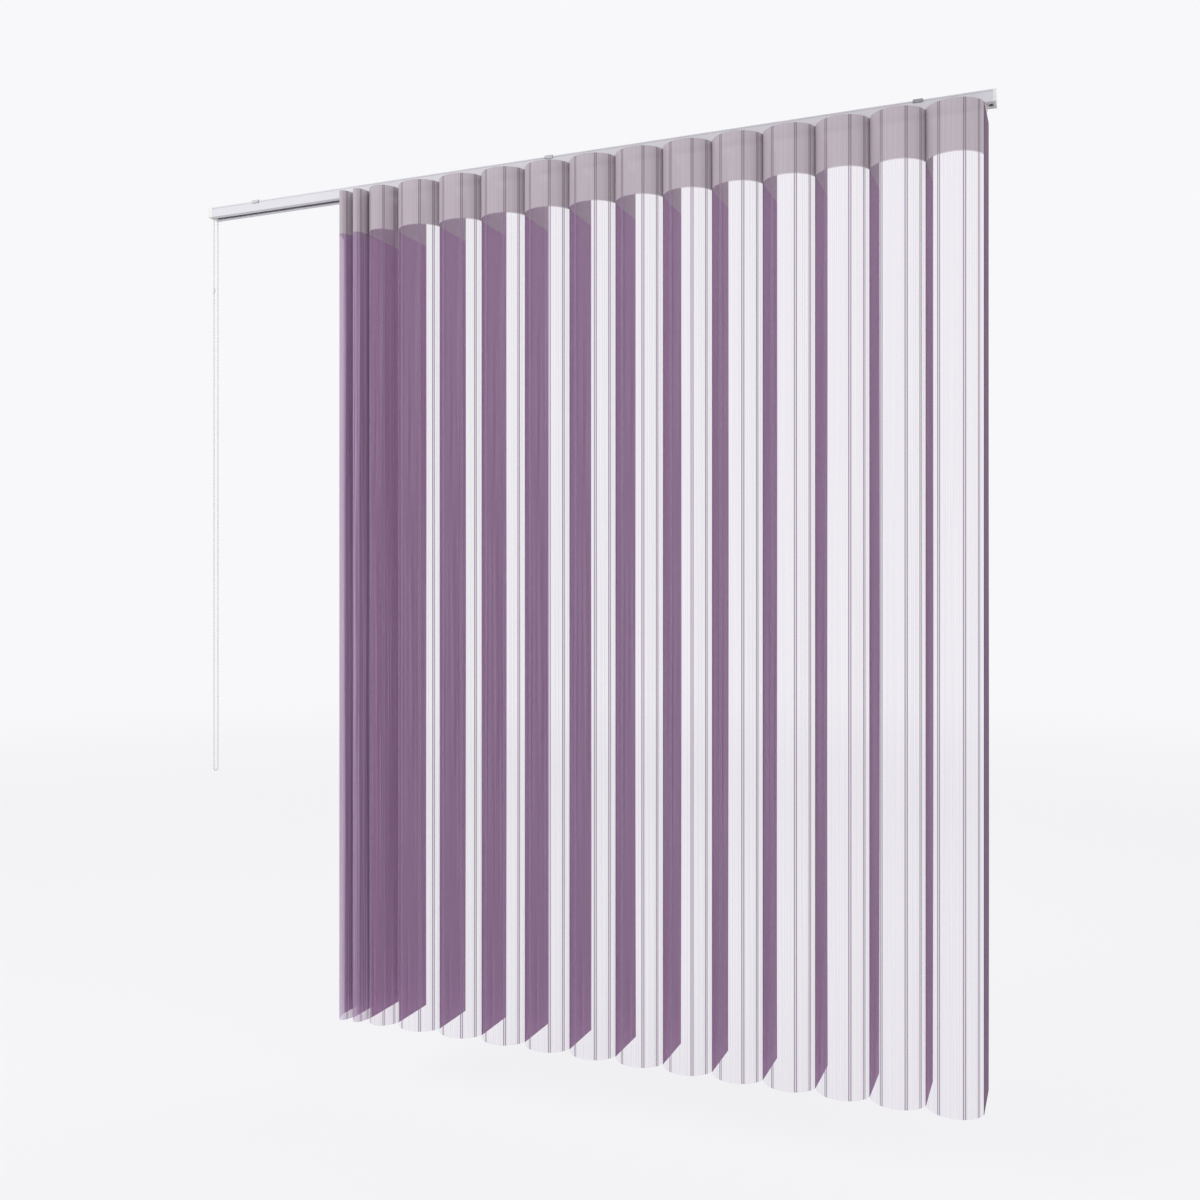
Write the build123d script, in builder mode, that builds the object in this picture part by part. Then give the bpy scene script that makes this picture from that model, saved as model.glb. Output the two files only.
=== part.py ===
"""Vertical blind: solid leaves and sheer bays hung from a top-fixed channel rail.

Millimetres. X runs along the rail, Y towards the glass and Z up.
The origin is the top face of the middle bracket, where the blind is screwed up.
"""
import math
import os

from build123d import *

os.makedirs("parts", exist_ok=True)

# Shared fits
overrun = 1.0
running_gap = 0.3

# Headrail: an extruded channel, open below along its slot
rail_length = 1956.0
rail_width = 40.0
rail_height = 25.5
rail_wall = 1.5
rail_slot = 14.0
rail_corner = 1.0
screw_recess_width = 20.0
screw_recess_depth = 4.0
clip_groove_depth = 0.8
clip_groove_height = 2.4
clip_groove_drop = 3.0

# Top brackets that clip over the rail
bracket_inset = 153.0
bracket_length = 20.0
bracket_plate = 2.0
bracket_claw = 1.5
bracket_bend = 1.2
bracket_hole_radius = 2.25
bracket_hole_spacing = 10.0

# End caps
control_cap_length = 14.0
plain_cap_length = 6.0
cap_lip = 0.5
cap_corner = 2.0
cap_edge = 0.8
cap_end_wall = 3.0
cap_tongue_length = 9.0
cap_tongue_width = 3.0
cap_tongue_height = 12.0
bearing_radius = 6.0
bearing_length = 6.0
bearing_gap = 0.1
bearing_depth = 9.0

# Tilt rod and the chain wheel that turns it
rod_radius = 3.0
rod_groove_radius = 0.9
rod_groove_count = 3
rod_drop = 13.0
chamber_radius = 11.0
wheel_flange_radius = 9.5
wheel_flange = 1.2
journal_length = 1.7

# Bead chain loop
chain_diameter = 4.5
strand_spacing = 15.0
chain_drop = 1473.0
chain_hole_gap = 0.4
connector_length = 11.0
connector_wall = 1.3
connector_gap = 0.15
connector_drop = 198.0

# Carriers that run in the rail
carrier_length = 14.0
carrier_width = 25.0
carrier_base_height = 6.5
carrier_base_lift = 2.0
worm_housing_width = 12.6
worm_housing_height = 8.8
worm_housing_chamfer = 3.0
rod_window = 7.4
roller_radius = 4.0
roller_width = 4.0
neck_size = 9.0
neck_chamfer = 2.0
neck_drop = 5.5
stem_radius = 2.0
stem_length = 4.0

# Spacer blades that set the leaves' full pitch
blade_thickness = 0.5
blade_step = 0.9
blade_height = 6.5
blade_lift = 1.0
blade_tail = 2.0
blade_lanes = 7

# Leaves and the hangers that carry them
station_count = 16
full_pitch = 112.0
lead_gap_shares = (0.34, 0.36, 0.70)
end_station_inset = 14.0
leaf_width = 127.0
leaf_length = 2010.0
cloth_thickness = 1.0
hanger_bar_height = 4.0
hanger_bar_thickness = 2.4
hanger_bar_inset = 2.5
hanger_boss_foot = 15.0
hanger_boss_width = 8.0
hanger_boss_thickness = 5.0
hanger_boss_height = 4.7

# Sheer bays between the leaves' front edges
bay_half_angle = 72.6
bay_gap = 2.0
seam_gap = 0.8

# Heights and ends that the pieces share
blind_width = control_cap_length + rail_length + plain_cap_length
cap_left = -blind_width / 2
rail_left = cap_left + control_cap_length
rail_right = rail_left + rail_length
rail_top = -bracket_plate
rail_bottom = rail_top - rail_height
rail_mid = (rail_top + rail_bottom) / 2
rail_floor = rail_bottom + rail_wall
rail_ceiling = rail_top - screw_recess_depth - rail_wall
cavity_half = rail_width / 2 - rail_wall
rod_z = rail_top - rod_drop
chain_x = (cap_left + cap_end_wall + rail_left) / 2
chain_radius = chain_diameter / 2
base_bottom = rail_floor + carrier_base_lift
base_top = base_bottom + carrier_base_height
neck_bottom = rail_bottom - neck_drop
boss_top = neck_bottom - running_gap
bar_top = boss_top - hanger_boss_height
leaf_top = bar_top - hanger_bar_height
leaf_bottom = leaf_top - leaf_length
leaf_front = -leaf_width / 2
bay_front = leaf_front - seam_gap


def save(solid, name):
    """Label one piece and write it under its own name."""
    solid.label = name
    export_step(solid, f"parts/{name}.step")


# Headrail
with BuildPart() as headrail:
    with BuildSketch(Plane.YZ.offset(rail_left)):
        with Locations((0, rail_mid)):
            RectangleRounded(rail_width, rail_height, rail_corner)
            Rectangle(2 * cavity_half, rail_height - 2 * rail_wall, mode=Mode.SUBTRACT)
        with Locations((0, rail_bottom)):
            Rectangle(rail_slot, 2 * (rail_wall + overrun), mode=Mode.SUBTRACT)
        with Locations((0, rail_top)):
            Rectangle(
                screw_recess_width + 2 * rail_wall,
                screw_recess_depth + rail_wall,
                align=(Align.CENTER, Align.MAX),
            )
            Rectangle(screw_recess_width, 2 * screw_recess_depth, mode=Mode.SUBTRACT)
        groove_z = rail_top - clip_groove_drop - clip_groove_height / 2
        with Locations((-rail_width / 2, groove_z), (rail_width / 2, groove_z)):
            Rectangle(2 * clip_groove_depth, clip_groove_height, mode=Mode.SUBTRACT)
    extrude(amount=rail_length)
    # Cut level with the channel's floor and ceiling, so that each strip of the section collides as itself
    split(bisect_by=Plane.XY.offset(rail_floor), keep=Keep.BOTH)
    split(bisect_by=Plane.XY.offset(rail_ceiling), keep=Keep.BOTH)
save(headrail.part, "headrail")


# Top brackets: a plate over the rail, with a claw on each side that hooks into the rail's groove
def make_bracket(x):
    """One spring-steel bracket, centred at x along the rail."""
    claw_outer = rail_width / 2 + running_gap + bracket_claw
    claw_drop = clip_groove_drop + clip_groove_height - running_gap
    hook_reach = bracket_claw + running_gap + clip_groove_depth - running_gap
    hook_height = clip_groove_height - 2 * running_gap
    with BuildPart() as bracket:
        with BuildSketch(Plane.YZ.offset(x - bracket_length / 2)):
            Rectangle(2 * claw_outer, bracket_plate, align=(Align.CENTER, Align.MAX))
            for side in (-1, 1):
                with Locations((side * (claw_outer - bracket_claw / 2), 0)):
                    Rectangle(bracket_claw, bracket_plate + claw_drop, align=(Align.CENTER, Align.MAX))
                with Locations((side * (claw_outer - hook_reach / 2), rail_top - claw_drop)):
                    Rectangle(hook_reach, hook_height, align=(Align.CENTER, Align.MIN))
        extrude(amount=bracket_length)
        fillet(bracket.edges().filter_by(Axis.X).group_by(Axis.Z)[-1], bracket_bend)
        with Locations((x, 0, 0)):
            with GridLocations(bracket_hole_spacing, 0, 2, 1):
                Hole(bracket_hole_radius)
    return bracket.part


bracket_reach = blind_width / 2 - bracket_inset
for bracket_name, side in (("left", -1), ("middle", 0), ("right", 1)):
    save(make_bracket(side * bracket_reach), f"{bracket_name}_bracket")


# End caps, each with two tongues that push into the rail
def add_tongues(rail_end, direction):
    """Two flat tongues that run from the cap into the rail along its side walls."""
    tongue_y = cavity_half - running_gap - cap_tongue_width / 2
    tongue_x = rail_end + direction * cap_tongue_length / 2
    tongue_z = rail_floor + running_gap + cap_tongue_height / 2
    with Locations((tongue_x, -tongue_y, tongue_z), (tongue_x, tongue_y, tongue_z)):
        Box(cap_tongue_length, cap_tongue_width, cap_tongue_height)


with BuildPart() as control_cap:
    with BuildSketch(Plane.YZ.offset(cap_left)):
        with Locations((0, rail_mid)):
            RectangleRounded(rail_width + 2 * cap_lip, rail_height + 2 * cap_lip, cap_corner)
    extrude(amount=control_cap_length)
    fillet(control_cap.faces().sort_by(Axis.X)[0].edges(), cap_edge)
    with BuildSketch(Plane.YZ.offset(cap_left + cap_end_wall)):
        with Locations((0, rod_z)):
            Circle(chamber_radius)
    extrude(amount=control_cap_length, mode=Mode.SUBTRACT)
    with BuildSketch(Plane.YZ.offset(cap_left + cap_end_wall - journal_length - running_gap)):
        with Locations((0, rod_z)):
            Circle(rod_radius + bearing_gap)
    extrude(amount=journal_length + running_gap + overrun, mode=Mode.SUBTRACT)
    with BuildSketch(Plane.XY.offset(rail_bottom - cap_lip - overrun)):
        with Locations((chain_x, -strand_spacing / 2), (chain_x, strand_spacing / 2)):
            Circle(chain_radius + chain_hole_gap)
    extrude(amount=rod_z - rail_bottom + cap_lip + overrun, mode=Mode.SUBTRACT)
    add_tongues(rail_left, 1)
save(control_cap.part, "control_end_cap")

with BuildPart() as plain_cap:
    with BuildSketch(Plane.YZ.offset(rail_right)):
        with Locations((0, rail_mid)):
            RectangleRounded(rail_width + 2 * cap_lip, rail_height + 2 * cap_lip, cap_corner)
    extrude(amount=plain_cap_length)
    fillet(plain_cap.faces().sort_by(Axis.X)[-1].edges(), cap_edge)
    with BuildSketch(Plane.YZ.offset(rail_right - bearing_length)):
        with Locations((0, rod_z)):
            Circle(bearing_radius)
    extrude(amount=bearing_length)
    with BuildSketch(Plane.YZ.offset(rail_right - bearing_length - overrun)):
        with Locations((0, rod_z)):
            Circle(rod_radius + bearing_gap)
    extrude(amount=bearing_depth + overrun, mode=Mode.SUBTRACT)
    add_tongues(rail_right, -1)
save(plain_cap.part, "plain_end_cap")

# Chain wheel: a spool whose groove takes the beads, with a hub that turns the rod
groove_width = chain_diameter + 2 * running_gap
wheel_core = strand_spacing / 2 - chain_radius - running_gap
wheel_left = chain_x - groove_width / 2 - wheel_flange
hub_right = rail_left
with BuildPart() as chain_wheel:
    with BuildSketch(Plane.YZ.offset(cap_left + cap_end_wall - journal_length)):
        with Locations((0, rod_z)):
            Circle(rod_radius)
    extrude(amount=hub_right - cap_left - cap_end_wall + journal_length)
    with BuildSketch(Plane.YZ.offset(wheel_left)):
        with Locations((0, rod_z)):
            Circle(wheel_flange_radius)
    extrude(amount=groove_width + 2 * wheel_flange)
    with BuildSketch(Plane.YZ.offset(wheel_left + wheel_flange)):
        with Locations((0, rod_z)):
            Circle(wheel_flange_radius + overrun)
            Circle(wheel_core, mode=Mode.SUBTRACT)
    extrude(amount=groove_width, mode=Mode.SUBTRACT)
save(chain_wheel.part, "chain_wheel")

# Tilt rod: a grooved rod that turns every carrier's worm
rod_end = rail_right - bearing_length + bearing_depth - running_gap
with BuildPart() as tilt_rod:
    with BuildSketch(Plane.YZ.offset(hub_right)):
        with Locations((0, rod_z)):
            Circle(rod_radius)
            with PolarLocations(rod_radius, rod_groove_count):
                Circle(rod_groove_radius, mode=Mode.SUBTRACT)
    extrude(amount=rod_end - hub_right)
save(tilt_rod.part, "tilt_rod")

# Bead chain: one loop, down the front strand, round the bottom and up the back strand
strand_y = strand_spacing / 2
chain_bottom = rod_z - chain_drop
chain_route = [
    (chain_x, -strand_y, rod_z),
    (chain_x, -strand_y, chain_bottom),
    (chain_x, strand_y, chain_bottom),
    (chain_x, strand_y, rod_z),
]
chain_bend_share = 0.45
chain_bend = chain_bend_share * strand_spacing
with BuildPart() as bead_chain:
    with BuildLine() as chain_path:
        FilletPolyline(*chain_route, radius=chain_bend)
    with BuildSketch(Plane(origin=chain_route[0], z_dir=(0, 0, -1))):
        Circle(chain_radius)
    sweep(path=chain_path.line)
save(bead_chain.part, "bead_chain")
chain_length = sum(edge.length for edge in chain_path.edges())
print("chain bend", chain_bend, "length", chain_length, "volume", bead_chain.part.volume)

# Chain connector: the sleeve that joins the chain's two ends, on the front strand
with BuildPart() as connector:
    with BuildSketch(Plane.XY.offset(rod_z - connector_drop - connector_length)):
        with Locations((chain_x, -strand_y)):
            Circle(chain_radius + connector_gap + connector_wall)
            Circle(chain_radius + connector_gap, mode=Mode.SUBTRACT)
    extrude(amount=connector_length)
save(connector.part, "chain_connector")

# Stations from the drawn lead leaf on the left to the fixed leaf on the right
gaps = [share * full_pitch for share in lead_gap_shares]
gaps += [full_pitch] * (station_count - 1 - len(gaps))
end_station = rail_right - end_station_inset
stations = [end_station - sum(gaps[index:]) for index in range(station_count)]


# Carriers: a runner with a roller each side, a worm housing round the rod and a neck for the hanger
def make_carrier(x):
    """One carrier at x along the rail."""
    roller_z = rail_floor + running_gap + roller_radius
    roller_y = carrier_width / 2 + roller_width / 2
    with BuildPart() as carrier:
        with BuildSketch(Plane.YZ.offset(x - carrier_length / 2)) as profile:
            with Locations((0, base_top)):
                Rectangle(worm_housing_width, worm_housing_height, align=(Align.CENTER, Align.MIN))
            chamfer(profile.vertices().group_by(Axis.Y)[-1], worm_housing_chamfer)
            with Locations((0, base_bottom)):
                Rectangle(carrier_width, carrier_base_height, align=(Align.CENTER, Align.MIN))
            with Locations((0, rod_z)):
                Rectangle(rod_window, rod_window, mode=Mode.SUBTRACT)
        extrude(amount=carrier_length)
        with BuildSketch(Plane.XY.offset(neck_bottom)) as neck:
            with Locations((x, 0)):
                Rectangle(neck_size, neck_size)
            chamfer(neck.vertices(), neck_chamfer)
        extrude(amount=base_bottom - neck_bottom)
        with BuildSketch(Plane.XY.offset(neck_bottom)):
            with Locations((x, 0)):
                Circle(stem_radius + running_gap)
        extrude(amount=stem_length + running_gap, mode=Mode.SUBTRACT)
        with Locations((x, -roller_y, roller_z), (x, roller_y, roller_z)):
            Cylinder(roller_radius, roller_width, rotation=(90, 0, 0))
    return carrier.part


def make_spacer(x, lane):
    """The spacer that stands on the carrier at x; lane is its blade's place across the rail."""
    blade_y = worm_housing_width / 2 + blade_step * (lane + 1)
    blade_end = x - full_pitch - carrier_length / 2 - blade_tail
    with BuildPart() as spacer:
        with BuildSketch(Plane.XZ.offset(-blade_y)):
            with Locations((x, base_top + blade_lift)):
                Rectangle(x - blade_end, blade_height, align=(Align.MAX, Align.MIN))
            with Locations((x, base_top)):
                Rectangle(carrier_length / 2, blade_height, align=(Align.MAX, Align.MIN))
        extrude(amount=blade_thickness)
    return spacer.part


# Every carrier but the lead one has a spacer
for index, station in enumerate(stations):
    carrier_pieces = [make_carrier(station)]
    if index > 0:
        carrier_pieces.append(make_spacer(station, index % blade_lanes))
    save(Compound(children=carrier_pieces), f"carrier_{index + 1:02d}")


# Leaves: a flat strip of closely woven cloth, hung from a hanger with a bar and a turning stem
def make_leaf(x):
    """The cloth strip at x, standing square to the rail."""
    with BuildPart() as leaf:
        with BuildSketch(Plane.XY.offset(leaf_bottom)):
            with Locations((x, 0)):
                Rectangle(cloth_thickness, leaf_width)
        extrude(amount=leaf_length)
    return leaf.part


def make_hanger(x):
    """The hanger at x: a bar along the leaf's top, a tapered boss and the stem that turns in the carrier."""
    with BuildPart() as hanger:
        with BuildSketch(Plane.XY.offset(leaf_top)):
            with Locations((x, 0)):
                Rectangle(hanger_bar_thickness, leaf_width - 2 * hanger_bar_inset)
        extrude(amount=hanger_bar_height)
        with BuildSketch(Plane.YZ.offset(x)):
            with BuildLine():
                Polyline(
                    (-hanger_boss_foot / 2, bar_top),
                    (hanger_boss_foot / 2, bar_top),
                    (hanger_boss_width / 2, boss_top),
                    (-hanger_boss_width / 2, boss_top),
                    close=True,
                )
            make_face()
        extrude(amount=hanger_boss_thickness / 2, both=True)
        with BuildSketch(Plane.XY.offset(boss_top)):
            with Locations((x, 0)):
                Circle(stem_radius)
        extrude(amount=stem_length)
    return hanger.part


for index, station in enumerate(stations):
    save(Compound(children=[make_leaf(station), make_hanger(station)]), f"leaf_{index + 1:02d}")


# Sheer bays: each is joined to a leaf's front edge, where it turns as a hem does, and bows to the next leaf
def make_sheer(x, gap):
    """A bowed strip of sheer cloth over the chord from one leaf to the next, as deep as in a full bay."""
    chord = gap - bay_gap
    half_angle = math.radians(bay_half_angle)
    bow = (full_pitch - bay_gap) / 2 / math.sin(half_angle)
    reach = chord / 2 / math.sin(half_angle)
    lift = bow * math.cos(half_angle)
    with BuildPart() as sheer:
        with BuildSketch(Plane.XY.offset(leaf_bottom)):
            with BuildLine():
                sides = []
                for skin in (cloth_thickness / 2, -cloth_thickness / 2):
                    sweep = math.degrees(math.acos(lift / (bow + skin)))
                    sides.append(
                        EllipticalCenterArc(
                            (x + chord / 2, bay_front + lift),
                            reach + skin,
                            bow + skin,
                            start_angle=270 - sweep,
                            arc_size=2 * sweep,
                        )
                    )
                Line(sides[0] @ 0, sides[1] @ 0)
                Line(sides[0] @ 1, sides[1] @ 1)
            make_face()
        extrude(amount=leaf_length)
    return sheer.part


for index, gap in enumerate(gaps):
    save(make_sheer(stations[index], gap), f"sheer_{index + 1:02d}")

print("stations", [round(station, 2) for station in stations])
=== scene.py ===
"""Looks of the vertical blind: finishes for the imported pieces, and the hangers, cloth and chain in full."""

import bmesh
import bpy
import numpy as np
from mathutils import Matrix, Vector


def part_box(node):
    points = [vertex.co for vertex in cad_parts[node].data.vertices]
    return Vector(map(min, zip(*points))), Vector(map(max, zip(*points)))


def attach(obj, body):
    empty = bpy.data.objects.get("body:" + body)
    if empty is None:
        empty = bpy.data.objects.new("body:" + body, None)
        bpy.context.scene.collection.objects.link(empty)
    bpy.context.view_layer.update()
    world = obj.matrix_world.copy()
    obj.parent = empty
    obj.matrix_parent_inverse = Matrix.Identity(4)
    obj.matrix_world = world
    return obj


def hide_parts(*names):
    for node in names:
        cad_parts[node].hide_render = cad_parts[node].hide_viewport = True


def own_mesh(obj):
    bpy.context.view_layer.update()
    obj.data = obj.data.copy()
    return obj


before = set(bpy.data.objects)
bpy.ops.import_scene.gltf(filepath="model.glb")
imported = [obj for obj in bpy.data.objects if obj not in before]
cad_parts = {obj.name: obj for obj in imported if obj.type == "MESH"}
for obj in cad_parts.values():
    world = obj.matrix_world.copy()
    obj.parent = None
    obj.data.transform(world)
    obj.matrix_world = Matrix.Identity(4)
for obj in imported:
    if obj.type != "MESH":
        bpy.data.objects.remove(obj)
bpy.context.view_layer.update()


# Headrail: an aluminium extrusion, cut to length and powder coated white.
# The coat is satin, with a fine orange peel, and the die leaves faint lines along the rail.
class Tone:
    """An output socket of a node tree. Arithmetic on it adds Math nodes to the same tree."""

    def __init__(self, socket):
        self.socket = socket
        self.tree = socket.id_data

    def node(self, kind, settings, inputs, output=0):
        """Adds a node: first its settings, then a value or a link for each of the named sockets."""
        added = self.tree.nodes.new(kind)
        for name, value in settings.items():
            setattr(added, name, value)
        for name, value in inputs.items():
            if isinstance(value, Tone):
                self.tree.links.new(value.socket, added.inputs[name])
            else:
                added.inputs[name].default_value = value
        return Tone(added.outputs[output])

    def maths(self, operation, *values):
        return self.node("ShaderNodeMath", {"operation": operation}, dict(enumerate(values)))

    def __add__(self, other):
        return self.maths("ADD", self, other)

    def __sub__(self, other):
        return self.maths("SUBTRACT", self, other)

    def __rsub__(self, other):
        return self.maths("SUBTRACT", other, self)

    def __mul__(self, other):
        return self.maths("MULTIPLY", self, other)

    __radd__ = __add__
    __rmul__ = __mul__

    def __abs__(self):
        return self.maths("ABSOLUTE", self)

    def wave(self):
        return self.maths("SINE", self)

    def or_more(self, other):
        return self.maths("MAXIMUM", self, other)

    def ramp(self, low, high):
        """Rises smoothly from 0 where the tone is low to 1 where it is high."""
        settings = {"interpolation_type": "SMOOTHSTEP"}
        return self.node("ShaderNodeMapRange", settings, {"Value": self, "From Min": low, "From Max": high})

    def tint(self, first, second):
        """The first colour where the tone is 0 and the second where it is 1."""
        return self.node("ShaderNodeMix", {"data_type": "RGBA"}, {0: self, 6: first, 7: second}, 2)

    def along(self, axis):
        """One coordinate of a place, by the number of its axis."""
        return self.node("ShaderNodeSeparateXYZ", {}, {"Vector": self}, axis)

    def grain(self, scale, detail=2.0):
        """Noise at a place. Scale is features per metre along each axis, so it can be drawn into streaks."""
        spread = self.node("ShaderNodeMapping", {}, {"Vector": self, "Scale": scale})
        return self.node("ShaderNodeTexNoise", {}, {"Vector": spread, "Scale": 1.0, "Detail": detail})

    def feed(self, shader, name):
        self.tree.links.new(self.socket, shader.inputs[name])

    def emboss(self, shader, depth):
        """Uses the tone as a height, in units of depth metres, for the shader's normal."""
        self.node("ShaderNodeBump", {}, {"Height": self, "Distance": depth}).feed(shader, "Normal")


def colour(red, green, blue):
    """A shader colour from three display values of 0 to 255."""
    share = np.array([red, green, blue]) / 255
    linear = np.where(share <= 0.04045, share / 12.92, ((share + 0.055) / 1.055) ** 2.4)
    return (*linear.tolist(), 1.0)


def new_finish(name, where="Object", **fixed):
    """A material, its shader, and the place its patterns read. Fixed sockets have one value all over."""
    finish = bpy.data.materials.new(name)
    finish.use_nodes = True
    shader = finish.node_tree.nodes["Principled BSDF"]
    for socket, value in fixed.items():
        shader.inputs[socket.replace("_", " ").title()].default_value = value
    place = finish.node_tree.nodes.new("ShaderNodeTexCoord")
    return finish, shader, Tone(place.outputs[where])


def dress(finish, *nodes):
    """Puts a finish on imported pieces."""
    for node in nodes:
        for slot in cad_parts[node].material_slots:
            slot.material = finish


powder_coat, shader, place = new_finish("powder_coat")
die_lines = place.grain((3.0, 700.0, 700.0))
peel = place.grain((900.0, 900.0, 900.0), 3.0)
clouds = place.grain((5.0, 30.0, 30.0))
whiteness = 0.6 * clouds + 0.4 * die_lines
whiteness.tint(colour(205, 203, 208), colour(216, 214, 219)).feed(shader, "Base Color")
(0.34 + 0.16 * peel).feed(shader, "Roughness")
(peel + 0.4 * die_lines).emboss(shader, 0.00008)
dress(powder_coat, "headrail")


# Top brackets: bent from spring steel strip and zinc plated, screwed up first, and the rail clips in.
# The plating is bluish, with rolling lines across the strip and cloudy patches.
zinc, shader, place = new_finish("zinc_plate", metallic=1.0)
rolling = place.grain((2500.0, 60.0, 60.0))
patches = place.grain((260.0, 260.0, 260.0), 4.0)
patches.tint(colour(122, 124, 126), colour(160, 162, 164)).feed(shader, "Base Color")
(0.34 + 0.14 * rolling + 0.12 * patches).feed(shader, "Roughness")
rolling.emboss(shader, 0.00003)
dress(zinc, "left_bracket", "middle_bracket", "right_bracket")


# End caps and chain wheel: injection moulded in white plastic, with a fine spark-eroded skin.
# The caps push into the rail's ends, and the wheel turns inside the left one.
moulding, shader, place = new_finish("moulded_white")
skin = place.grain((2200.0, 2200.0, 2200.0), 3.0)
flow = place.grain((40.0, 60.0, 60.0))
flow.tint(colour(222, 221, 217), colour(232, 231, 228)).feed(shader, "Base Color")
(0.4 + 0.18 * skin).feed(shader, "Roughness")
skin.emboss(shader, 0.00006)
dress(moulding, "control_end_cap", "plain_end_cap", "chain_wheel")


# Tilt rod: drawn aluminium with three grooves, which turns the worm in each carrier.
# Drawing leaves bright lines along it and a little grey grease.
drawn, shader, place = new_finish("drawn_aluminium", metallic=1.0)
draw_lines = place.grain((8.0, 3000.0, 3000.0))
grease = place.grain((45.0, 200.0, 200.0), 4.0)
grease.tint(colour(196, 197, 200), colour(222, 222, 224)).feed(shader, "Base Color")
(0.2 + 0.25 * draw_lines).feed(shader, "Roughness")
draw_lines.emboss(shader, 0.00002)
dress(drawn, "tilt_rod")


# Carriers: natural acetal mouldings that run in the rail, each with a spacer strip to the next one.
# Acetal is waxy, a little warmer than the rail, and slightly mottled.
acetal, shader, place = new_finish("natural_acetal", coat_weight=0.1)
mottle = place.grain((120.0, 120.0, 120.0), 4.0)
mottle.tint(colour(214, 212, 204), colour(229, 227, 221)).feed(shader, "Base Color")
(0.3 + 0.14 * mottle).feed(shader, "Roughness")
mottle.emboss(shader, 0.00005)
leaf_count = 16
vane_names = [f"{number:02d}" for number in range(1, leaf_count + 1)]
dress(acetal, *[f"carrier_{name}" for name in vane_names])


# Hangers: a flat bar that holds a leaf by its top edge, with a boss and a stem that clicks into the carrier.
# Each is one small acetal moulding; the bar's edges and ends are well rounded.
bar_length, bar_height, bar_thickness = 0.122, 0.004, 0.0024
boss_foot, boss_width, boss_thickness, boss_height = 0.015, 0.008, 0.005, 0.0047
stem_radius, stem_length = 0.002, 0.004
sunk = 0.05  # the share of its own height by which the boss starts in the bar, and the stem in the boss
leaf_low, leaf_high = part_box("leaf_01")
stem_foot = leaf_high.z - stem_length
cloth_top = stem_foot - boss_height - bar_height


def grid_surface(x, y, z, closed):
    """The points of a grid, row by row, and quads between neighbours.
    Closed joins the last column to the first."""
    points = np.stack(np.broadcast_arrays(x, y, z), axis=-1)
    rows, columns = points.shape[:2]
    spans = columns if closed else columns - 1
    row, column = np.meshgrid(np.arange(rows - 1), np.arange(spans), indexing="ij")
    here, beside = row * columns + column, row * columns + (column + 1) % columns
    quads = np.stack([here, beside, beside + columns, here + columns], axis=-1)
    return points.reshape(-1, 3), quads.reshape(-1, 4)


def add_piece(name, surfaces, finish, body):
    """One object from (points, quads) surfaces, smooth shaded, with its finish, riding on a body.
    The points of a pole lie in one place, and are made one."""
    starts = np.cumsum([0] + [len(points) for points, _ in surfaces])
    points = np.concatenate([points for points, _ in surfaces])
    faces = np.concatenate([quads + start for (_, quads), start in zip(surfaces, starts)])
    mesh = bpy.data.meshes.new(name)
    mesh.from_pydata(points.tolist(), [], faces.tolist())
    shell = bmesh.new()
    shell.from_mesh(mesh)
    bmesh.ops.remove_doubles(shell, verts=shell.verts, dist=1e-7)
    shell.to_mesh(mesh)
    shell.free()
    mesh.shade_smooth()
    mesh.materials.append(finish)
    piece = bpy.data.objects.new(name, mesh)
    bpy.context.scene.collection.objects.link(piece)
    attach(piece, body)
    return piece


def backward_turn(steps):
    """Angles of one turn, falling from 0, so that the faces of a section point outwards."""
    return np.linspace(0, -2 * np.pi, steps, endpoint=False)


def rounded(angle, corner=0.4):
    """Unit superellipse at an angle: cosine and sine, each raised to a power below 1, which squares it up."""
    wave = np.stack([np.cos(angle), np.sin(angle)])
    return np.sign(wave) * np.abs(wave) ** corner


def bar_surface(x):
    """A bar along Y: at share v of its half length the section is a superellipse round the angle u. The root
    of 1 less a high power of v shrinks it to nothing over the last millimetre of each end."""
    stops = np.sin(np.linspace(-np.pi / 2, np.pi / 2, 15))
    v, u = np.meshgrid(stops, backward_turn(20), indexing="ij")
    fullness = np.clip(1 - np.abs(v) ** 60, 0, 1) ** 0.5
    wide, tall = rounded(u)
    height = cloth_top + bar_height / 2 * (1 + fullness * tall)
    return grid_surface(x + bar_thickness / 2 * fullness * wide, bar_length / 2 * v, height, True)


def boss_surface(x):
    """A tapered block: at height share v the section is a superellipse round the angle u. Its length along Y
    falls evenly from the foot to the top. It closes to a point at each end, the lower one within the bar."""
    heights = np.array([1, 1, 0.93, 0.5, 0.07, 0.02, -sunk, -sunk])
    close = np.array([0, 0.93, 1, 1, 1, 0.95, 0.4, 0])[:, None]
    v, u = np.meshgrid(heights, backward_turn(28), indexing="ij")
    deep, long = rounded(u)
    half = close * (boss_foot + (boss_width - boss_foot) * v) / 2
    height = cloth_top + bar_height + boss_height * v
    return grid_surface(x + boss_thickness / 2 * close * deep, half * long, height, True)


def stem_surface(x):
    """A turned pin: radius and height run down a profile, turned round the upright axis by the angle u."""
    profile = np.array([(0, 1), (0.8, 1), (1, 0.88), (1, -sunk), (0, -sunk)]) * (stem_radius, stem_length)
    radius, u = np.meshgrid(profile[:, 0], backward_turn(20), indexing="ij")
    return grid_surface(x + radius * np.cos(u), radius * np.sin(u), stem_foot + profile[:, 1:], True)


stations = {}
for name in vane_names:
    low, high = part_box(f"leaf_{name}")
    x = stations[name] = (low.x + high.x) / 2
    forms = [bar_surface(x), boss_surface(x), stem_surface(x)]
    hanger = add_piece(f"hanger_{name}", forms, acetal, f"vane_{name}")
    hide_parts(f"leaf_{name}")


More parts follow.
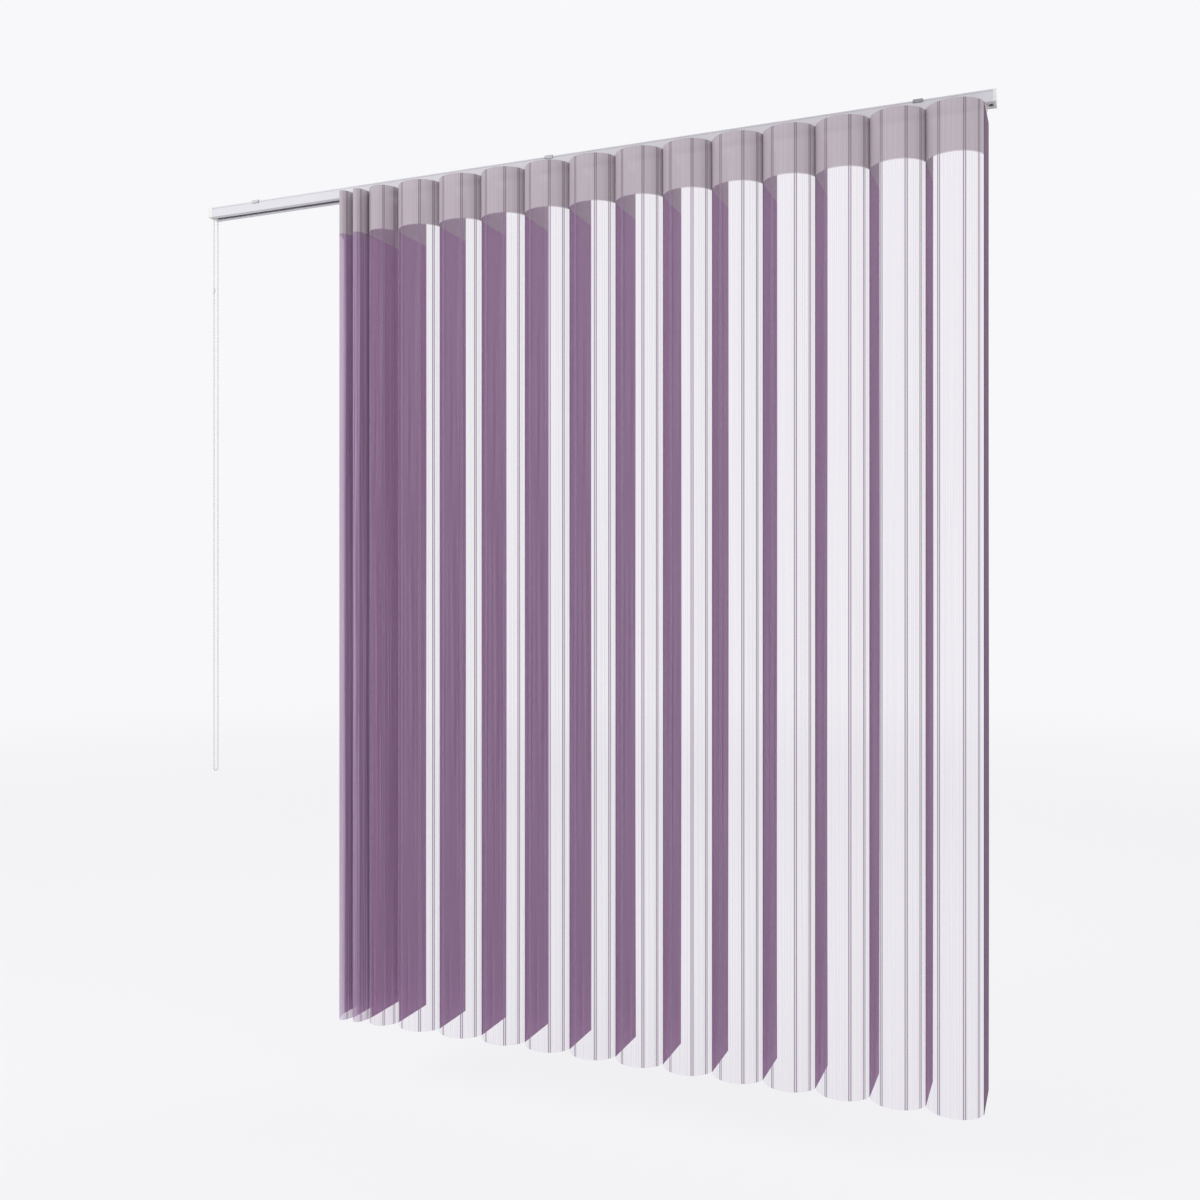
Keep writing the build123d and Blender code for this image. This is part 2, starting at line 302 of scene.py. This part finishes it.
# Leaves: strips of close plain weave in muted purple, heat cut along both sides and hung from their top edge.
# The top of each is woven as a greyer band, level with the band of the sheer; the fixed end leaf has none.
leaf_width, leaf_length, leaf_thickness = 0.127, cloth_top - leaf_low.z, 0.0008
band_height, leaf_band_blur = 0.106, 0.001
leaf_thread = 0.0008
seared_from, seared_to = leaf_width / 2 - 0.0022, leaf_width / 2 - 0.0008


def weave(across, along, pitch):
    """Height of a plain weave from 0 to 1: over and under in turn, the product of two waves, one each way."""
    return 0.5 + 0.5 * (across * (np.pi / pitch)).wave() * (along * (np.pi / pitch)).wave()


def leaf_finish(name, ground, lit, banded):
    """Purple cloth between two colours, with slubs along it, darker cut edges, and the greyer band or none."""
    cloth, shader, place = new_finish(name, sheen_weight=0.12, sheen_roughness=0.5, roughness=0.85)
    across, up = place.along(1), place.along(2)
    threads = weave(across, up, leaf_thread)
    slubs = place.grain((90.0, 420.0, 5.0), 3.0)
    fade = place.grain((4.0, 9.0, 1.6))
    plain = (0.55 * slubs + 0.3 * threads + 0.15 * fade).tint(ground, lit)
    if banded:
        greyer = (0.6 * slubs + 0.4 * threads).tint(colour(142, 120, 132), colour(170, 148, 160))
        band_foot = cloth_top - band_height
        plain = up.ramp(band_foot - leaf_band_blur, band_foot + leaf_band_blur).tint(plain, greyer)
    seared = 0.35 * abs(across).ramp(seared_from, seared_to)
    seared.tint(plain, colour(74, 46, 77)).feed(shader, "Base Color")
    (threads + 0.8 * slubs).emboss(shader, 0.00018)
    return cloth


def leaf_surface(x, seed):
    """A flat strip across Y and down Z. It stands off its plane by a slow wave, which grows from the hanger
    to the bottom and from the front edge, held by the sheer, to the free back edge, plus a slight cup."""
    rng = np.random.default_rng(seed)
    phase, cup = rng.uniform(0, 2 * np.pi), rng.uniform(-0.0005, 0.0005)
    down, across = np.meshgrid(np.linspace(0, 1, 57), np.linspace(-1, 1, 21), indexing="ij")
    wave = 0.0009 * down * (1 + across) / 2 * np.sin(5.2 * down + phase)
    cupped = cup * np.sin(np.pi * down) * (1 - across ** 2)
    return grid_surface(x + (wave + cupped), leaf_width / 2 * across, cloth_top - leaf_length * down, False)


banded_cloth = leaf_finish("purple_cloth", colour(126, 68, 121), colour(156, 95, 151), True)
# Painted shade: the end leaf has the same cloth as the others, but its colours are set darker for the shadow
# it stands in at the right end.
end_cloth_painted_shade = leaf_finish("purple_cloth_plain_painted_shade", colour(88, 52, 87), colour(112, 69, 110), False)
for number, name in enumerate(vane_names):
    cloth = end_cloth_painted_shade if name == vane_names[-1] else banded_cloth
    leaf = add_piece(f"leaf_cloth_{name}", [leaf_surface(stations[name], number)], cloth, f"vane_{name}")
    wall = leaf.modifiers.new("cloth", "SOLIDIFY")
    wall.thickness, wall.offset = leaf_thickness, 0.0
    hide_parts(f"leaf_{name}")


# Sheer bays: fine voile, woven in one with the leaves and bowed into the room from leaf to leaf.
# Three pairs of heavier threads run down each bay, and its top is woven closer, as a band.
bay_half_angle = np.radians(72.6)
full_gap = stations[vane_names[-1]] - stations[vane_names[-2]]
seam, seam_front = 0.0002, 0.0006
bay_front = -leaf_width / 2 - seam_front
pattern_width = 0.146  # the width of cloth that the threads are set out on
pair_places = (0.31, 0.655, 0.88)  # shares of that width
pair_width, pair_thread, pair_blur = 0.0065, 0.002, 0.0004
sheer_thread = 0.0006
sheer_band_blur = 0.0025


def sheer_surface(x, gap, seed):
    """A bay: the angle u runs along an ellipse from one leaf's front edge to the next. Its reach across is
    the gap's, and its bow into the room a full bay's, eased in and out by a millimetre down the length.
    Also gives its lay, which is the share of the cut width and the metres down, and the cut width."""
    rng = np.random.default_rng(100 + seed)
    phase = rng.uniform(0, 2 * np.pi, 2)
    across = (gap - seam) / 2 / np.sin(bay_half_angle)
    bow = (full_gap - seam) / 2 / np.sin(bay_half_angle)
    down, turn = np.meshgrid(np.linspace(0, 1, 49), np.linspace(1, -1, 33), indexing="ij")
    slack = 1 - turn ** 2
    ease = (0.012 * slack * np.sin(4.1 * down + phase[0])
            + 0.008 * slack * turn * np.sin(6.7 * down + phase[1]))
    angle = turn * bay_half_angle
    sideways = x + (gap - seam) / 2 + across * np.sin(angle)
    outward = bay_front - bow * (1 + ease * down) * (np.cos(angle) - np.cos(bay_half_angle))
    points, quads = grid_surface(sideways, outward, cloth_top - leaf_length * down, False)
    top = points[:turn.shape[1]]
    run = np.cumsum(np.linalg.norm(np.diff(top, axis=0, prepend=top[:1]), axis=1))
    lay = np.stack(np.broadcast_arrays(1 - run / run[-1], down * leaf_length), axis=-1)
    return (points, quads), lay.reshape(-1, 2), run[-1]


def voile_finish(name, cover, ground, lit):
    """Sheer cloth between two colours, with more cover where a bay is gathered, partly for the closer cloth
    and partly as painted light against the shade there. Its pairs of threads are darker than the cloth, in the
    band and below it. Across the cloth, the lay is a share of its width."""
    voile, shader, place = new_finish(name, "UV", roughness=0.8, sheen_weight=0.1, sheen_roughness=0.5)
    width, below = place.along(0) * pattern_width, place.along(1)
    threads = weave(width, below, sheer_thread)
    streaks = place.grain((60.0, 1.2, 1.0), 3.0).ramp(0.34, 0.66)
    ribs = place.grain((240.0, 3.0, 1.0), 1.0).ramp(0.3, 0.7)
    outer, inner = pair_width / 2, pair_width / 2 - pair_thread
    pairs = 0.0
    for centre in pair_places:
        away = abs(width - centre * pattern_width)
        inside = 1 - away.ramp(outer - pair_blur, outer + pair_blur)
        between = 1 - away.ramp(inner - pair_blur, inner + pair_blur)
        pairs = pairs + inside - 0.6 * between
    band = 1 - below.ramp(band_height - sheer_band_blur, band_height + sheer_band_blur)
    veil = pairs.tint((0.6 * streaks + 0.4 * ribs).tint(ground, lit), colour(141, 115, 146))
    closeness = 0.5 * streaks + 0.3 * ribs + 0.2 * threads
    close_weave = closeness.tint(colour(172, 160, 168), colour(198, 188, 195))
    band.tint(veil, pairs.tint(close_weave, colour(136, 122, 132))).feed(shader, "Base Color")
    thin = cover * (0.11 + 0.05 * ribs + 0.13 * streaks)
    thin.or_more(0.965 * band).or_more(0.9 * pairs).feed(shader, "Alpha")
    (threads + 0.6 * ribs + 1.5 * pairs).emboss(shader, 0.00015)
    return voile


open_voile = voile_finish("voile", 1.05, colour(186, 165, 195), colour(208, 193, 217))
for number, name in enumerate(vane_names[:-1]):
    gap = stations[vane_names[number + 1]] - stations[name]
    surface, lay, cut_width = sheer_surface(stations[name], gap, number)
    voile = open_voile
    # Gathered bays: their cloth lies closer, so they get more cover, but that extra cover and their more
    # purple colours are also painted light, which lifts the shade between the bunched leaves.
    if gap < 0.99 * full_gap:
        voile = voile_finish(f"voile_{name}", full_gap / gap, colour(182, 150, 186), colour(205, 178, 209))
    sheer = add_piece(f"sheer_cloth_{name}", [surface], voile, f"bay_{name}")
    corner = np.empty(len(sheer.data.loops), np.int32)
    sheer.data.loops.foreach_get("vertex_index", corner)
    sheer.data.uv_layers.new(name="cloth").data.foreach_set("uv", lay[corner].astype(np.float32).reshape(-1))
    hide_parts(f"sheer_{name}")
    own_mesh(sheer)


# Bead chain: white beads moulded on a polyester core, an endless loop over the wheel in the left cap.
# It hangs free under its own weight, and a small connector joins its ends on the front strand.
bead_radius, core_radius, bead_pitch, chain_length = 0.00225, 0.0007, 0.006, 2.955
chain_x, strand_y, wheel_z, loop_z = -0.9795, 0.0075, -0.015, -1.488
strand_foot = loop_z + 2 * strand_y
chain_route = [(chain_x, -strand_y, wheel_z), (chain_x, -strand_y, strand_foot), (chain_x, -strand_y, loop_z),
               (chain_x, strand_y, loop_z), (chain_x, strand_y, strand_foot), (chain_x, strand_y, wheel_z)]
route = bpy.data.curves.new("chain_route", "CURVE")
route.dimensions, route.resolution_u = "3D", 48
spline = route.splines.new("NURBS")
spline.points.add(len(chain_route) - 1)
spline.points.foreach_set("co", np.array([(*point, 1.0) for point in chain_route]).reshape(-1))
spline.order_u, spline.use_endpoint_u = 3, True
line_object = bpy.data.objects.new("chain_line", route)
line_mesh = bpy.data.meshes.new_from_object(line_object)
line = np.empty(len(line_mesh.vertices) * 3)
line_mesh.vertices.foreach_get("co", line)
line = line.reshape(-1, 3)
bpy.data.objects.remove(line_object)


def chain_surface(line):
    """A round section carried along the line: at distance s the radius is a ball's over each bead,
    and the core's between one bead and the next, and it closes to a point at each end."""
    run = np.concatenate([[0], np.cumsum(np.linalg.norm(np.diff(line, axis=0), axis=1))])
    beads = np.arange(bead_pitch / 2, run[-1] - bead_radius, bead_pitch)
    neck = np.arcsin(core_radius / bead_radius)
    tilt = np.linspace(neck, np.pi - neck, 6)
    s = (beads[:, None] - bead_radius * np.cos(tilt)[None, :]).reshape(-1)
    radius = np.tile(bead_radius * np.sin(tilt), len(beads))
    centre = np.stack([np.interp(s, run, line[:, axis]) for axis in range(3)], axis=-1)
    ahead = np.gradient(centre, axis=0)
    ahead /= np.linalg.norm(ahead, axis=1)[:, None]
    side = np.array([1.0, 0.0, 0.0])
    other = np.cross(ahead, side)
    u = np.linspace(0, 2 * np.pi, 8, endpoint=False)
    ring = np.cos(u)[None, :, None] * side + np.sin(u)[None, :, None] * other[:, None, :]
    ends = np.concatenate([[0], np.arange(len(s)), [len(s) - 1]])
    radius = np.concatenate([[0], radius, [0]])
    points = centre[ends, None, :] + radius[:, None, None] * ring[ends]
    return grid_surface(*np.moveaxis(points, -1, 0), True)


gloss, shader, place = new_finish("gloss_beads", coat_weight=0.3, coat_roughness=0.12)
shade = place.grain((170.0, 170.0, 170.0))
scuffs = place.grain((1500.0, 1500.0, 500.0), 3.0)
shade.tint(colour(214, 213, 210), colour(232, 232, 230)).feed(shader, "Base Color")
(0.2 + 0.2 * scuffs).feed(shader, "Roughness")
scuffs.emboss(shader, 0.00003)
chain = add_piece("bead_chain_beads", [chain_surface(line)], gloss, "rail")
dress(gloss, "chain_connector")
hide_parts("bead_chain")


# Floor: a round pale studio floor of matt paper, some way below the blind.
# It is seen as near white, keeps a soft shadow, and fades into the surround at its rim.
floor_z, floor_radius, fade_radius = -2.25, 12.0, 3.0
surround = colour(248, 248, 250)


def floor_surface():
    """A disc: a radius from the middle to the rim, and a turn about the upright axis."""
    radius, turn = np.meshgrid(np.linspace(0, floor_radius, 9), backward_turn(64), indexing="ij")
    return grid_surface(radius * np.cos(turn), radius * np.sin(turn), floor_z, True)


def seen_directly(tree):
    """1 for rays from the eye, off gloss or through glass, and 0 for rays that carry light to the object."""
    rays = tree.nodes.new("ShaderNodeLightPath").outputs
    kinds = [Tone(rays[kind]) for kind in ("Is Camera Ray", "Is Glossy Ray", "Is Transmission Ray")]
    return kinds[0].or_more(kinds[1]).or_more(kinds[2])


points, quads = floor_surface()
floor_mesh = bpy.data.meshes.new("floor")
floor_mesh.from_pydata(points.tolist(), [], quads.tolist())
floor = bpy.data.objects.new("floor", floor_mesh)
bpy.context.scene.collection.objects.link(floor)
paper, shader, place = new_finish("studio_floor", roughness=0.95)
fibre = place.grain((300.0, 300.0, 300.0), 3.0)
fibre.tint(colour(232, 232, 234), colour(238, 238, 240)).feed(shader, "Base Color")
reach = place.node("ShaderNodeVectorMath", {"operation": "LENGTH"}, {0: place}, "Value")
seen = seen_directly(paper.node_tree)
glow = seen.node("ShaderNodeEmission", {}, {"Color": surround, "Strength": 1.0})
glowing = seen * (0.8 + 0.2 * reach.ramp(fade_radius, floor_radius))
mixed = seen.node("ShaderNodeMixShader", {}, {0: glowing, 1: Tone(shader.outputs[0]), 2: glow})
mixed.feed(paper.node_tree.nodes["Material Output"], "Surface")
floor_mesh.materials.append(paper)


# Light: an even white surround, which lights the blind at a plain level, and three soft area lamps.
# The key is at the left in front, the fill at the right in front, and the last one above and behind.
world = bpy.data.worlds.new("studio")
world.use_nodes = True
seen = seen_directly(world.node_tree)
light = seen.node("ShaderNodeBackground", {}, {"Color": colour(244, 244, 248), "Strength": 0.75})
view = seen.node("ShaderNodeBackground", {}, {"Color": surround, "Strength": 1.0})
mixed = seen.node("ShaderNodeMixShader", {}, {0: seen, 1: light, 2: view})
mixed.feed(world.node_tree.nodes["World Output"], "Surface")
bpy.context.scene.world = world

for name, spot, aim, size, power in (
        ("key", (-2.6, -3.2, 1.4), (0, 0, -1.0), 2.4, 75.0),
        ("fill", (3.4, -2.2, 0.2), (0.2, 0, -1.1), 2.6, 26.0),
        ("back", (0.5, 1.9, 1.6), (0, 0, -1.0), 2.4, 30.0)):
    lamp = bpy.data.lights.new(name, "AREA")
    lamp.size, lamp.energy = size, power
    stand = bpy.data.objects.new(name, lamp)
    bpy.context.scene.collection.objects.link(stand)
    stand.location = spot
    x, y, z = np.array(aim) - np.array(spot)
    stand.rotation_euler = (np.arccos(-z / np.linalg.norm((x, y, z))), 0, np.arctan2(-x, y))


# Camera: level, at the height of the leaves' middle, and to the right of the blind in front of it.
# It is turned left by the angle whose sine is given, to look back along the rail.
sine_of_turn = 0.3765
lens = bpy.data.cameras.new("camera")
lens.lens, lens.sensor_width, lens.shift_y = 35.4, 36.0, -0.0075
camera = bpy.data.objects.new("camera", lens)
bpy.context.scene.collection.objects.link(camera)
camera.location = (1.1435, -2.517, -1.013)
camera.rotation_euler = (np.pi / 2, 0, np.arcsin(sine_of_turn))
bpy.context.scene.camera = camera
bpy.context.scene.view_settings.view_transform = "Standard"
